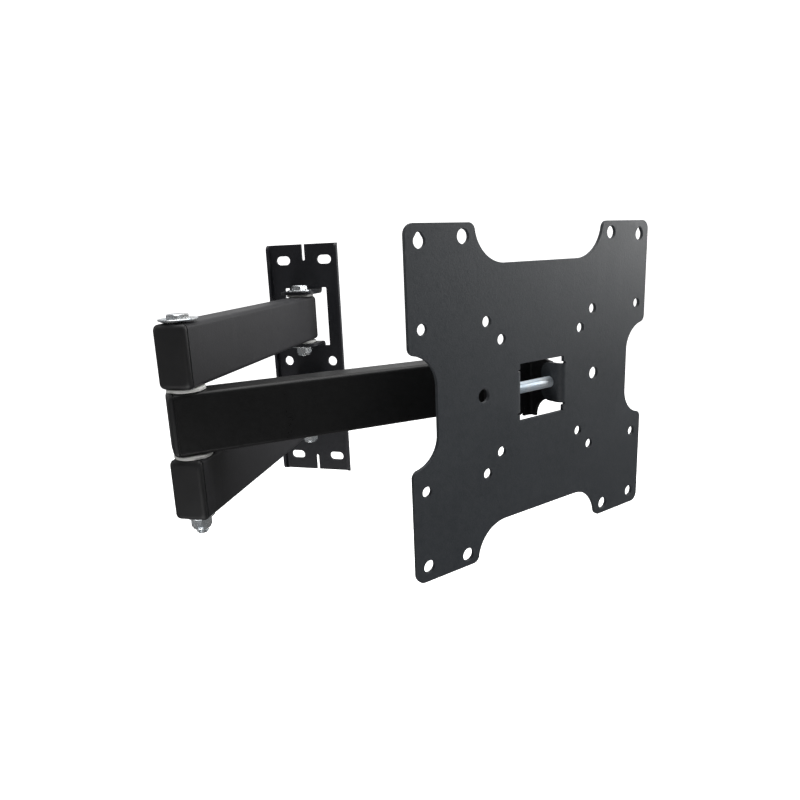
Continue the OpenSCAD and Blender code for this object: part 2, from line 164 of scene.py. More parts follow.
def newFinish(name):
    material = bpy.data.materials.new(name)
    material.use_nodes = True
    material.node_tree.nodes.clear()
    graph = Graph(material.node_tree)
    place = graph.add("ShaderNodeTexCoord", None, None, out="Object")
    return material, graph, place


def bumpFrom(graph, look, height):
    return graph.add("ShaderNodeBump", None, {
        "Strength": look["bumpStrength"], "Distance": 1.0, "Height": height})


def finishWith(graph, sockets):
    shader = graph.add("ShaderNodeBsdfPrincipled", None, sockets)
    graph.add("ShaderNodeOutputMaterial", None, {"Surface": shader})


# finishes

roughSpan = (0.08, 0.95)            # no finish is smoother or duller


def powderCoat(name, look):
    # baked powder: orange peel, fine grain, handling marks and a few dull rubs
    material, graph, place = newFinish(name)
    cloud = graph.noise(place, look["cloudScale"], 3, 0.6)
    mottle = graph.noise(place, look["mottleScale"], 3, 0.7)
    peel = graph.noise(place, look["peelScale"], 2, 0.55)
    grain = graph.noise(place, look["grainScale"], 1, 0.5)
    stretched = graph.add("ShaderNodeMapping", None, {
        "Vector": place, "Rotation": (0.4, 0.9, 0.3), "Scale": look["rubStretch"]})
    rub = graph.span(graph.noise(stretched, look["rubScale"], 4, 0.65), *look["rubSpan"])
    spread = look["shadeSpread"]
    shade = graph.span(cloud, *look["cloudSpan"])
    base = graph.mix(shade, rgba(look["colour"], 1 - spread), rgba(look["colour"], 1 + spread))
    blotch = graph.span(mottle, *look["mottleSpan"]) * look["mottleShare"]
    base = graph.mix(blotch, base, rgba(look["speckColour"]))
    speck = graph.span(grain, *look["speckSpan"]) * look["speckShare"]
    base = graph.mix(speck, base, rgba(look["speckColour"]))
    rough = (cloud - 0.5) * look["cloudRough"] + look["roughness"]
    rough = rough + (grain - 0.5) * look["grainRough"] + rub * look["rubRough"]
    rough = rough + (mottle - 0.5) * look["mottleRough"]
    height = peel * look["peelDepth"] + grain * look["grainDepth"]
    bump = bumpFrom(graph, look, height)
    finishWith(graph, {
        "Base Color": base, "Roughness": rough.limited(*roughSpan), "Normal": bump,
        "Specular IOR Level": look["specular"]})
    return material


def mouldedPlastic(name, look):
    # spark-eroded mould grain with slightly polished patches
    material, graph, place = newFinish(name)
    cloud = graph.noise(place, look["cloudScale"], 3, 0.6)
    grain = graph.noise(place, look["grainScale"], 2, 0.6)
    spread = look["shadeSpread"]
    shade = graph.span(cloud, *look["cloudSpan"])
    base = graph.mix(shade, rgba(look["colour"], 1 - spread), rgba(look["colour"], 1 + spread))
    speck = graph.span(grain, *look["speckSpan"]) * look["speckShare"]
    base = graph.mix(speck, base, rgba(look["speckColour"]))
    rough = (cloud - 0.5) * look["cloudRough"] + look["roughness"] + (grain - 0.5) * look["grainRough"]
    bump = bumpFrom(graph, look, grain * look["grainDepth"])
    finishWith(graph, {
        "Base Color": base, "Roughness": rough.limited(*roughSpan), "Normal": bump,
        "Specular IOR Level": look["specular"]})
    return material


def platedSteel(name, look):
    # bright zinc: cloudy passivation, drawn scratches, small dull spots
    material, graph, place = newFinish(name)
    cloud = graph.noise(place, look["cloudScale"], 4, 0.6)
    stretched = graph.add("ShaderNodeMapping", None, {"Vector": place, "Scale": look["scratchStretch"]})
    scratch = graph.noise(stretched, look["scratchScale"], 3, 0.7)
    spot = graph.span(graph.noise(place, look["spotScale"], 2, 0.5), *look["spotSpan"])
    shade = graph.span(cloud, *look["cloudSpan"])
    base = graph.mix(shade, rgba(look["coolTint"]), rgba(look["warmTint"]))
    base = graph.mix(spot * look["spotShare"], base, rgba(look["spotTint"]))
    rough = (scratch - 0.5) * look["scratchRough"] + look["roughness"]
    rough = rough + spot * look["spotRough"] + (cloud - 0.5) * look["cloudRough"]
    bump = bumpFrom(graph, look, scratch * look["scratchDepth"])
    finishWith(graph, {
        "Base Color": base, "Metallic": look["metallic"], "Roughness": rough.limited(*roughSpan),
        "Normal": bump})
    return material


coatGrain = {
    "cloudScale": 14, "cloudSpan": (0.3, 0.7), "cloudRough": 0.16, "shadeSpread": 0.10,
    "mottleScale": 240, "mottleSpan": (0.35, 0.65), "mottleShare": 0.22, "mottleRough": 0.2,
    "grainScale": 1500, "speckSpan": (0.42, 0.66), "speckShare": 0.35, "grainRough": 0.16,
    "rubStretch": (1, 1, 0.12), "rubScale": 90, "rubSpan": (0.56, 0.74), "rubRough": -0.07,
    "peelScale": 620, "peelDepth": 0.00010, "grainDepth": 0.00005, "bumpStrength": 0.6,
}
tvPlateLook = {
    **coatGrain, "colour": (0.030, 0.035, 0.041), "speckColour": (0.066, 0.070, 0.076),
    "roughness": 0.50, "specular": 0.45,
}
wallPlateLook = {
    **coatGrain, "colour": (0.020, 0.021, 0.026), "speckColour": (0.04, 0.04, 0.046),
    "roughness": 0.42, "specular": 0.4,
}
armLook = {
    **coatGrain, "colour": (0.017, 0.017, 0.0195), "speckColour": (0.052, 0.052, 0.056),
    "roughness": 0.48, "specular": 0.45,
}
forearmLook = {
    **coatGrain, "colour": (0.010, 0.010, 0.010), "speckColour": (0.02, 0.02, 0.021),
    "roughness": 0.36, "specular": 0.3,
}
bracketLook = {
    **coatGrain, "colour": (0.010, 0.010, 0.011), "speckColour": (0.03, 0.03, 0.031),
    "roughness": 0.4, "specular": 0.3,
}
mouldGrain = {
    "cloudSpan": (0.3, 0.7), "cloudRough": 0.2, "shadeSpread": 0.12, "speckSpan": (0.5, 0.75),
    "speckShare": 0.3, "grainRough": 0.1, "bumpStrength": 0.5,
}
capLook = {
    **mouldGrain, "colour": (0.021, 0.021, 0.022), "speckColour": (0.04, 0.04, 0.042), "cloudScale": 30,
    "grainScale": 1800, "grainDepth": 0.00008, "roughness": 0.48, "specular": 0.35,
}
padLook = {
    **mouldGrain, "colour": (0.78, 0.78, 0.75), "speckColour": (0.6, 0.6, 0.58), "cloudScale": 60,
    "grainScale": 1300, "grainDepth": 0.00006, "roughness": 0.45, "specular": 0.4,
}
zincLook = {
    "coolTint": (0.78, 0.84, 0.89), "warmTint": (0.88, 0.88, 0.87), "metallic": 0.85, "roughness": 0.23,
    "cloudScale": 120, "cloudSpan": (0.35, 0.65), "cloudRough": 0.14,
    "spotTint": (0.50, 0.52, 0.55), "spotScale": 500, "spotSpan": (0.6, 0.72), "spotShare": 0.35,
    "spotRough": 0.15, "scratchStretch": (1, 1, 0.15), "scratchScale": 900, "scratchRough": 0.22,
    "scratchDepth": 0.00006, "bumpStrength": 0.4,
}
# the tilt bolt's copy of the zinc: rougher, and its bluer tint and lower metallic paint in the even bluish
# reflection of bright surroundings along the bolt
tiltZincPaintedReflectionLook = {
    **zincLook, "coolTint": (0.62, 0.72, 0.80), "warmTint": (0.74, 0.79, 0.83),
    "metallic": 0.6, "roughness": 0.42,
}
sleeveLook = {**zincLook, "coolTint": (0.5, 0.5, 0.5), "warmTint": (0.55, 0.54, 0.52), "roughness": 0.4}

finishes = {
    "tv_plate_coat": powderCoat("tvPlateCoat", tvPlateLook),
    "wall_plate_coat": powderCoat("wallPlateCoat", wallPlateLook),
    "arm_coat": powderCoat("armCoat", armLook),
    "forearm_coat": powderCoat("forearmCoat", forearmLook),
    "bracket_coat": powderCoat("bracketCoat", bracketLook),
    "cap_plastic": mouldedPlastic("capPlastic", capLook),
    "pad_plastic": mouldedPlastic("padNylon", padLook),
    "zinc": platedSteel("brightZinc", zincLook),
    "sleeve_steel": platedSteel("sleeveSteel", sleeveLook),
}
tiltZincPaintedReflectionFinish = platedSteel("tiltBoltZinc", tiltZincPaintedReflectionLook)
slotOf = {s["node"]: s["material_slot"] for s in frame["record"]["subparts"]}
bodyOf = {n: body for body, members in frame["record"]["behaviour"]["bodies"].items() for n in members}
for name, piece in nodes.items():
    piece.data.materials.clear()
    piece.data.materials.append(finishes[slotOf[name]])
print("finishes made:", len(finishes))


# pieces: making, settling and placing them

def linked(name, mesh):
    piece = bpy.data.objects.new(name, mesh)
    bpy.context.scene.collection.objects.link(piece)
    return piece


def settled(piece, sharpAngle=32):
    # what the modifiers make becomes a plain mesh, and the modifiers go
    bpy.context.view_layer.update()
    seen = piece.evaluated_get(bpy.context.evaluated_depsgraph_get())
    mesh = bpy.data.meshes.new_from_object(seen)
    piece.modifiers.clear()
    old = piece.data
    piece.data = mesh
    bpy.data.meshes.remove(old)
    mesh.name = piece.name
    mesh.shade_smooth()
    if sharpAngle:
        mesh.set_sharp_from_angle(angle=math.radians(sharpAngle))
    return piece


def reach(node, pivot, axis):
    # how far a CAD node reaches along an axis, each way from a pivot
    far = [(v.co - pivot).dot(axis) for v in nodes[node].data.vertices]
    return min(far), max(far)


def standsFor(piece, node):
    # the piece takes the CAD node's body and finish, and the CAD node is hidden in its place
    piece.data.materials.clear()
    piece.data.materials.append(finishes[slotOf[node]])
    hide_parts(node)
    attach(piece, bodyOf[node])


# sheet steel and tubes: the CAD shape with its edges broken

edgeRules = {"weld": 0.002, "flatWithin": 0.3, "sharpOver": 35}      # mm, degrees, degrees
edgeBreaks = {
    "tv_plate": {"piece": "tvPlateSheet", "edge": 0.35, "steps": 3},
    "wall_plate": {"piece": "wallPlateSheet", "edge": 0.35, "steps": 3},
    "swivel_bracket": {"piece": "swivelBracketSheet", "edge": 0.35, "steps": 3},
    "upper_arm": {"piece": "upperArmTube", "edge": 0.25, "steps": 2},
    "lower_arm": {"piece": "lowerArmTube", "edge": 0.25, "steps": 2},
    "forearm": {"piece": "forearmTube", "edge": 0.25, "steps": 2},
}


def edgeBroken(node, look):
    mesh = nodes[node].data.copy()
    for layer in ("custom_normal", "sharp_edge", "sharp_face"):
        if layer in mesh.attributes:
            mesh.attributes.remove(mesh.attributes[layer])
    edit = bmesh.new()
    edit.from_mesh(mesh)
    bmesh.ops.remove_doubles(edit, verts=edit.verts, dist=edgeRules["weld"] * mm)
    flat = math.radians(edgeRules["flatWithin"])
    bmesh.ops.dissolve_limit(edit, angle_limit=flat, verts=edit.verts, edges=edit.edges)
    edit.to_mesh(mesh)
    edit.free()
    piece = linked(look["piece"], mesh)
    edges = piece.modifiers.new("brokenEdges", "BEVEL")
    edges.width = look["edge"] * mm
    edges.segments = look["steps"]
    edges.limit_method = "ANGLE"
    edges.angle_limit = math.radians(edgeRules["sharpOver"])
    edges.harden_normals = True
    mesh.shade_smooth()
    mesh.set_sharp_from_angle(angle=math.radians(edgeRules["sharpOver"]))
    standsFor(settled(piece, 0), node)


for node, look in edgeBreaks.items():
    edgeBroken(node, look)
print("edges broken on", len(edgeBreaks), "sheets and tubes")


# end plugs: a moulded cover with a shadow gap against the tube, and two fins that grip inside it

plug = {
    "width": 22, "height": 40, "corner": 3, "cover": 4, "sideRound": 2.6, "topRound": 3.6,
    "gap": 0.8, "gapDepth": 0.9, "gapWall": 0.05, "gapEdge": 0.12, "finThickness": 1.8, "finLength": 9,
    "finHeight": 28, "tubeWall": 1.5, "faceIn": 0.7, "sharpOver": 40, "roundSteps": 12,
}
up = Vector((0, 0, 1))
outward = (elbowPivot - wallPivot).normalized()
reachOut = (swivelPivot - elbowPivot).normalized()
armLevels = (upperLevel, lowerLevel)
plugPlaces = {
    "arm_elbow_caps": {"piece": "armElbowPlugs", "pivot": elbowPivot, "axis": outward, "levels": armLevels},
    "arm_wall_caps": {"piece": "armWallPlugs", "pivot": wallPivot, "axis": -outward, "levels": armLevels},
    "forearm_elbow_cap": {
        "piece": "forearmElbowPlug", "pivot": elbowPivot, "axis": -reachOut, "levels": (0,)},
    "forearm_head_cap": {
        "piece": "forearmHeadPlug", "pivot": swivelPivot, "axis": reachOut, "levels": (0,)},
}


def roundedLoop(edit, width, height, corner, out, steps=6):
    # one section of the cover, in millimetres, lying across the tube's line
    loop = []
    for sideX, sideZ, begin in ((1, 1, 0), (-1, 1, 90), (-1, -1, 180), (1, -1, 270)):
        for i in range(steps + 1):
            turn = math.radians(begin + 90 * i / steps)
            x = sideX * (width / 2 - corner) + corner * math.cos(turn)
            z = sideZ * (height / 2 - corner) + corner * math.sin(turn)
            loop.append(edit.verts.new((x * mm, out * mm, z * mm)))
    return loop


def fallAway(out, radius):
    # how far a rounded edge of that radius has come in at a distance out from the tube
    past = max(0.0, out - (plug["cover"] - radius))
    return radius - math.sqrt(max(0.0, radius * radius - past * past))


def makePlugBody(edit):
    # each section: how far out from the tube, how far in at the sides, how far in at top and bottom
    gap = plug["gap"]
    inset = plug["gapDepth"]
    edge = plug["gapEdge"]
    wall = gap + plug["gapWall"]
    brim = wall + edge
    sections = [(0, inset, inset), (gap, inset, inset), (wall, edge, edge), (brim, 0, 0)]
    cover = plug["cover"]
    span = cover - max(cover - plug["topRound"], brim)
    steps = plug["roundSteps"]
    for i in range(1, steps + 1):
        out = cover - span * (1 - math.sin(math.pi / 2 * i / steps))
        sections.append((out, fallAway(out, plug["sideRound"]), fallAway(out, plug["topRound"])))
    sections.append((cover, plug["sideRound"] + plug["faceIn"], plug["topRound"] + plug["faceIn"]))
    loops = []
    for out, inX, inZ in sections:
        width = plug["width"] - 2 * inX
        height = plug["height"] - 2 * inZ
        loops.append(roundedLoop(edit, width, height, plug["corner"], out))
    for low, high in zip(loops, loops[1:]):
        for i in range(len(low)):
            j = (i + 1) % len(low)
            edit.faces.new((low[i], low[j], high[j], high[i]))
    edit.faces.new(loops[0])
    edit.faces.new(loops[-1])
    thick = plug["finThickness"]
    long = plug["finLength"]
    finX = plug["width"] / 2 - plug["tubeWall"] - thick / 2
    for side in (-1, 1):
        size = Matrix.Diagonal((thick * mm, long * mm, plug["finHeight"] * mm, 1))
        middle = Matrix.Translation((side * finX * mm, -long / 2 * mm, 0))
        bmesh.ops.create_cube(edit, size=1, matrix=middle @ size)


def makePlugs(node, place):
    edit = bmesh.new()
    far = reach(node, place["pivot"], place["axis"])[1]
    across = place["axis"].cross(up)
    turn = Matrix((across, place["axis"], up)).transposed().to_4x4()
    for level in place["levels"]:
        one = bmesh.new()
        makePlugBody(one)
        start = place["pivot"] + place["axis"] * (far - plug["cover"] * mm) + up * level
        one.transform(Matrix.Translation(start) @ turn)
        bmesh.ops.recalc_face_normals(one, faces=one.faces)
        single = bpy.data.meshes.new("onePlug")
        one.to_mesh(single)
        one.free()
        edit.from_mesh(single)
        bpy.data.meshes.remove(single)
    mesh = bpy.data.meshes.new(place["piece"])
    edit.to_mesh(mesh)
    edit.free()
    mesh.shade_smooth()
    mesh.set_sharp_from_angle(angle=math.radians(plug["sharpOver"]))
    standsFor(linked(place["piece"], mesh), node)


for node, place in plugPlaces.items():
    makePlugs(node, place)
print("end plugs made:", len(plugPlaces))


# fasteners: turned blanks, cut to a hexagon and set out in rows by geometry nodes

class PartTree(Graph):
    # a geometry tree with named inputs, which ends in real geometry with a finish
    kinds = {float: "NodeSocketFloat", int: "NodeSocketInt", tuple: "NodeSocketVector"}

    def __init__(self, name, inputs, objects=()):
        super().__init__(bpy.data.node_groups.new(name, "GeometryNodeTree"))
        face = self.tree.interface
        for label, value in inputs.items():
            socket = face.new_socket(name=label, in_out="INPUT", socket_type=self.kinds[type(value)])
            socket.default_value = value
        for label in objects:
            face.new_socket(name=label, in_out="INPUT", socket_type="NodeSocketObject")
        face.new_socket(name="Finish", in_out="INPUT", socket_type="NodeSocketMaterial")
        face.new_socket(name="Geometry", in_out="OUTPUT", socket_type="NodeSocketGeometry")
        self.asked = self.add("NodeGroupInput").socket.node

    def input(self, label):
        return Signal(self, self.asked.outputs[label])

    def joined(self, *parts):
        return self.add("GeometryNodeJoinGeometry", None, {0: list(parts)})

    def end(self, geometry):
        real = self.add("GeometryNodeRealizeInstances", None, {0: geometry})
        finish = self.input("Finish")
        coated = self.add("GeometryNodeSetMaterial", None, {"Geometry": real, "Material": finish})
        self.add("NodeGroupOutput", None, {0: coated})


def threadedShankTree():
    # a rolled thread on the far end of a plain shank, which hangs below zero
    tree = PartTree("threadedShank", {
        "Length": 0.06, "Diameter": 0.008, "Thread Length": 0.022, "Pitch": 0.00125, "Depth": 0.0006,
        "Tip": 0.0008, "Around": 48, "Rings": 140})
    rings = tree.input("Rings")
    grid = tree.add("GeometryNodeMeshGrid", None, {
        "Size X": 1.0, "Size Y": 1.0, "Vertices X": tree.input("Around") + 1, "Vertices Y": rings})
    place = tree.add("GeometryNodeInputPosition")
    across = tree.add("ShaderNodeSeparateXYZ", None, {0: place}, out="X") + 0.5
    along = (tree.add("ShaderNodeSeparateXYZ", None, {0: place}, out="Y") + 0.5) * (rings - 1)
    ring = along.maths("ROUND")
    length = tree.input("Length")
    threaded = tree.input("Thread Length")
    plain = ring.maths("GREATER_THAN", 1.5) * (length - threaded)
    down = ((ring - 2) / (rings - 4)).limited(0, 1) * threaded + plain
    turn = (down / tree.input("Pitch") - across + 100).maths("FRACT")
    groove = ((turn * 2 - 1).maths("ABSOLUTE") * 1.3 - 0.15).limited(0, 1)      # flat crests and roots
    runOut = ((down - length + threaded) / (tree.input("Pitch") * 2)).limited(0, 1)
    tip = length - down + tree.input("Diameter") * 0.5 - tree.input("Tip")
    radius = tree.input("Diameter") * 0.5 - groove * runOut * tree.input("Depth")
    radius = radius.maths("MINIMUM", tip)
    radius = radius * ring.maths("GREATER_THAN", 0.5) * (ring - rings + 1).maths("LESS_THAN", -0.5)
    angle = across * math.tau
    spot = tree.add("ShaderNodeCombineXYZ", None, {
        "X": angle.maths("COSINE") * radius, "Y": angle.maths("SINE") * radius, "Z": down * -1})
    shaped = tree.add("GeometryNodeSetPosition", None, {"Geometry": grid, "Position": spot})
    tree.end(tree.add("GeometryNodeMergeByDistance", None, {"Geometry": shaped, "Distance": 0.00001}))
    return tree


def fastenerRowTree():
    # a turned blank pulled in to the flats, joined with its shank and repeated in a row
    tree = PartTree("fastenerRow", {
        "Across Flats": 0.013, "Count": 1, "Step": (0.0, 0.0, 0.0)}, ("Blank", "Shank"))
    blank = tree.add("GeometryNodeObjectInfo", None, {"Object": tree.input("Blank")}, out="Geometry")
    shank = tree.add("GeometryNodeObjectInfo", None, {"Object": tree.input("Shank")}, out="Geometry")
    place = tree.add("GeometryNodeInputPosition")
    x = tree.add("ShaderNodeSeparateXYZ", None, {0: place}, out="X")
    y = tree.add("ShaderNodeSeparateXYZ", None, {0: place}, out="Y")
    z = tree.add("ShaderNodeSeparateXYZ", None, {0: place}, out="Z")
    radius = (x * x + y * y).maths("SQRT")
    sector = (y.maths("ARCTAN2", x) + math.tau).maths("MODULO", math.pi / 3) - math.pi / 6
    flatAt = tree.input("Across Flats") * 0.5 / sector.maths("COSINE")
    pull = (flatAt / radius.maths("MAXIMUM", 1e-6)).maths("MINIMUM", 1.0)
    spot = tree.add("ShaderNodeCombineXYZ", None, {"X": x * pull, "Y": y * pull, "Z": z})
    cut = tree.add("GeometryNodeSetPosition", None, {"Geometry": blank, "Position": spot})
    row = tree.add("GeometryNodeMeshLine", {"mode": "OFFSET"}, {
        "Count": tree.input("Count"), "Offset": tree.input("Step")})
    whole = tree.joined(cut, shank)
    tree.end(tree.add("GeometryNodeInstanceOnPoints", None, {"Points": row, "Instance": whole}))
    return tree


shankTree = threadedShankTree()
rowTree = fastenerRowTree()


def grown(name, tree, values):
    # runs a tree once, with its inputs set, and keeps the plain mesh
    piece = linked(name, bpy.data.meshes.new(name))
    maker = piece.modifiers.new(tree.tree.name, "NODES")
    maker.node_group = tree.tree
    for item in tree.tree.interface.items_tree:
        if item.item_type == "SOCKET" and item.in_out == "INPUT" and item.name in values:
            maker[item.identifier] = values[item.name]
    settled(piece)
    edit = bmesh.new()
    edit.from_mesh(piece.data)
    bmesh.ops.recalc_face_normals(edit, faces=edit.faces)
    edit.to_mesh(piece.data)
    edit.free()
    return piece


def turned(name, outline, steps=72):
    # spins an outline of radii and heights, in millimetres; a closed one makes a ring
    edit = bmesh.new()
    rims = []
    for radius, height in outline:
        if radius < 1e-6:
            rims.append([edit.verts.new((0, 0, height * mm))] * steps)
            continue
        rims.append([edit.verts.new((
            radius * mm * math.cos(math.tau * i / steps),
            radius * mm * math.sin(math.tau * i / steps), height * mm)) for i in range(steps)])
    solid = outline[0][0] < 1e-6
    pairs = list(zip(rims, rims[1:])) if solid else list(zip(rims, rims[1:] + rims[:1]))
    for low, high in pairs:
        for i in range(steps):
            j = (i + 1) % steps
            corners = dict.fromkeys((low[i], low[j], high[j], high[i]))
            edit.faces.new(list(corners))
    bmesh.ops.recalc_face_normals(edit, faces=edit.faces)
    mesh = bpy.data.meshes.new(name)
    edit.to_mesh(mesh)
    edit.free()
    return linked(name, mesh)


def rounded(low, high, radius, steps=4):
    # outline of a ring's section, low and high corners as (radius, height), all edges rounded
    inner, outer = low[0] + radius, high[0] - radius
    bottom, top = low[1] + radius, high[1] - radius
    outline = []
    for middleR, middleZ, begin in (
            (outer, bottom, -90), (outer, top, 0), (inner, top, 90), (inner, bottom, 180)):
        for i in range(steps + 1):
            turn = math.radians(begin + 90 * i / steps)
            outline.append((middleR + radius * math.cos(turn), middleZ + radius * math.sin(turn)))
    return outline


def discarded(*blanks):
    for blank in blanks:
        mesh = blank.data
        bpy.data.objects.remove(blank)
        bpy.data.meshes.remove(mesh)


hardware = {
    "bolt": 8, "flats": 13, "headHeight": 4.3, "washerFace": 0.4, "crownIn": 0.2, "crownTilt": 30,
    "seatShare": 0.95, "dimpleIn": 0.9, "dimple": 0.12, "pitch": 1.25, "ringsPerTurn": 8,
    "threadDepth": 0.62, "tip": 0.8,
    "nutHeight": 8, "collarHeight": 1.9, "collarIn": 0.6, "collarRound": 0.7, "insertLip": 0.9,
    "insertSlope": 0.2, "insertDepth": 0.35, "boreGap": 0.02,
    "washerEdge": 0.35, "padEdge": 0.5, "holeGap": 0.2,
}


def crownOutline(height, steps=8):
    # the turned-off corners at the top of a hexagon, from the corners in to the crown
    widest = hardware["flats"] / 2 / math.cos(math.pi / 6)
    crown = hardware["flats"] / 2 - hardware["crownIn"]
    drop = (widest - crown) * math.tan(math.radians(hardware["crownTilt"]))
    outline = []
    for i in range(steps + 1):
        outline.append((widest + (crown - widest) * i / steps, height - drop * (1 - i / steps)))
    return outline


def headBlank():
    face = hardware["washerFace"]
    seat = hardware["flats"] / 2 * hardware["seatShare"]
    widest = hardware["flats"] / 2 / math.cos(math.pi / 6)
    top = crownOutline(hardware["headHeight"])
    crown = top[-1][0]
    sunk = hardware["headHeight"] - hardware["dimple"]
    outline = [(0, 0), (seat, 0), (seat, face), (widest, face), *top]
    outline += [(crown - hardware["dimpleIn"], sunk), (0, sunk)]
    return turned("headBlank", outline)


def nutBlank():
    # seat chamfer, flats, shoulder chamfer, then the round collar rolled over a nylon ring
    body = hardware["nutHeight"] - hardware["collarHeight"]
    collar = hardware["flats"] / 2 - hardware["collarIn"]
    bore = hardware["bolt"] / 2 - hardware["boreGap"]
    seat = [(r, body - z) for r, z in crownOutline(body)][::-1]
    shoulder = crownOutline(body)
    height = hardware["nutHeight"]
    bend = hardware["collarRound"]
    roll = []
    for i in range(7):
        turn = math.pi / 2 * i / 6
        roll.append((collar - bend + bend * math.cos(turn), height - bend + bend * math.sin(turn)))
    rim = collar - bend - hardware["insertLip"]
    insert = height - hardware["insertDepth"]
    mouth = [(rim, height), (rim - hardware["insertSlope"], insert)]
    outline = [(bore, 0), *seat, *shoulder, (collar, body), *roll, *mouth, (bore, insert)]
    return turned("nutBlank", outline)


def ringBlank(outer, thickness, edge):
    hole = hardware["bolt"] / 2 + hardware["holeGap"]
    return turned("ringBlank", rounded((hole, 0), (outer / 2, thickness), edge))


def stackFrame(pivot, axis, flatsFrom):
    # stands a fastener's Z along the stack, with a corner of its hexagon towards flatsFrom
    x = (flatsFrom - axis * flatsFrom.dot(axis)).normalized()
    y = axis.cross(x)
    turn = Matrix((x, y, axis)).transposed().to_4x4()
    return Matrix.Translation(pivot) @ turn


def setRow(name, node, stack, blank, level, flats, shank=None):
    # the blank, with its shank, at each of the stack's places
    values = {"Blank": blank, "Across Flats": flats * mm, "Count": stack["count"],
              "Step": (0.0, 0.0, stack["step"]), "Finish": finishes[slotOf[node]]}
    if shank:
        values["Shank"] = shank
    piece = grown(name, rowTree, values)
    piece.data.transform(stack["frame"] @ Matrix.Translation((0, 0, level)))
    standsFor(piece, node)


armLine = outward.cross(up)
stacks = {
    "wall": {
        "pivot": wallPivot, "axis": up, "corner": Vector((1, 0, 0)), "bolt": "wall_bolts",
        "nut": "wall_nuts", "thread": 22, "count": 2, "step": lowerLevel - upperLevel},
    "elbow": {
        "pivot": elbowPivot, "axis": up, "corner": armLine, "bolt": "elbow_bolt",
        "nut": "elbow_nut", "thread": 22, "count": 1, "step": 0.0},
    "swivel": {
        "pivot": swivelPivot, "axis": up, "corner": tiltAxis, "bolt": "swivel_bolt",
        "nut": "swivel_nut", "thread": 22, "count": 1, "step": 0.0},
    "tilt": {
        "pivot": tiltPivot, "axis": -tiltAxis, "corner": up, "bolt": "tilt_bolt",
        "nut": "tilt_nut", "thread": 16, "count": 1, "step": 0.0},
}


def makeBoltAndNut(name, stack):
    # head, shank and thread in one piece, and the lock nut on its end, collar away from the head
    stack["frame"] = stackFrame(stack["pivot"], stack["axis"], stack["corner"])
    low, high = reach(stack["bolt"], stack["pivot"], stack["axis"])
    seat = high - hardware["headHeight"] * mm
    pitch = hardware["pitch"]
    shank = grown(name + "Shank", shankTree, {
        "Length": seat - low + (stack["count"] - 1) * stack["step"],
        "Thread Length": stack["thread"] * mm, "Pitch": pitch * mm,
        "Diameter": hardware["bolt"] * mm, "Depth": hardware["threadDepth"] * mm,
        "Tip": hardware["tip"] * mm, "Rings": int(stack["thread"] / pitch * hardware["ringsPerTurn"]) + 5,
        "Finish": finishes[slotOf[stack["bolt"]]]})
    head = headBlank()
    setRow(name + "HexBolt", stack["bolt"], stack, head, seat, hardware["flats"], shank)
    blank = nutBlank()
    blank.data.transform(Matrix.Rotation(math.pi, 4, "X"))
    nutSeat = reach(stack["nut"], stack["pivot"], stack["axis"])[1]
    setRow(name + "LockNut", stack["nut"], stack, blank, nutSeat, hardware["flats"])
    discarded(shank, head, blank)


for name, stack in stacks.items():
    makeBoltAndNut(name, stack)
# the tilt bolt takes the zinc copy with the painted bluish reflection
bpy.data.objects["tiltHexBolt"].data.materials[0] = tiltZincPaintedReflectionFinish
print("bolts and lock nuts made:", len(stacks))


washer = {"thickness": 1.2, "edge": "washerEdge"}
glidePad = {"outer": 24, "thickness": 2.2, "edge": "padEdge"}
rings = {
    "wall_washers": {**washer, "piece": "wallWashers", "stack": "wall", "outer": 22},
    "wall_pads": {**glidePad, "piece": "wallGlidePads", "stack": "wall"},
    "elbow_flat_washer": {**washer, "piece": "elbowFlatWasher", "stack": "elbow", "outer": 18},
    "elbow_pads": {**glidePad, "piece": "elbowGlidePads", "stack": "elbow"},
    "swivel_washers": {**washer, "piece": "swivelWashers", "stack": "swivel", "outer": 22},
    "swivel_pads": {**glidePad, "piece": "swivelGlidePads", "stack": "swivel"},
    "tilt_washers": {**washer, "piece": "tiltWashers", "stack": "tilt", "outer": 16},
    "tilt_pads": {
        "piece": "tiltGlidePads", "stack": "tilt", "outer": 14, "thickness": 1.0, "edge": "washerEdge"},
}


def makeRings(node, ring):
    # washers and pads lie in pairs, one at each end of what they hold
    stack = stacks[ring["stack"]]
    low, high = reach(node, stack["pivot"], stack["axis"])
    thickness = ring["thickness"] * mm
    blank = ringBlank(ring["outer"], ring["thickness"], hardware[ring["edge"]])
    pair = high - low - thickness + (stack["count"] - 1) * stack["step"]
    uncut = 2 * ring["outer"]               # flats so far out that the ring stays round
    if pair < thickness / 2:
        setRow(ring["piece"], node, stack, blank, low, uncut)
        discarded(blank)
        return
    both = grown("ringPair", rowTree, {
        "Blank": blank, "Across Flats": uncut * mm, "Count": 2, "Step": (0.0, 0.0, -pair)})
    setRow(ring["piece"], node, stack, both, high - thickness, uncut)
    discarded(blank, both)


for node, ring in rings.items():
    makeRings(node, ring)


dish = {
    "piece": "elbowDishWasher", "outer": 24, "seat": 7.9, "rise": 1.6, "thickness": 1.0, "edge": 0.3,
    "bendUnder": 0.6, "bendOver": 0.4, "bendRise": 0.1,
}


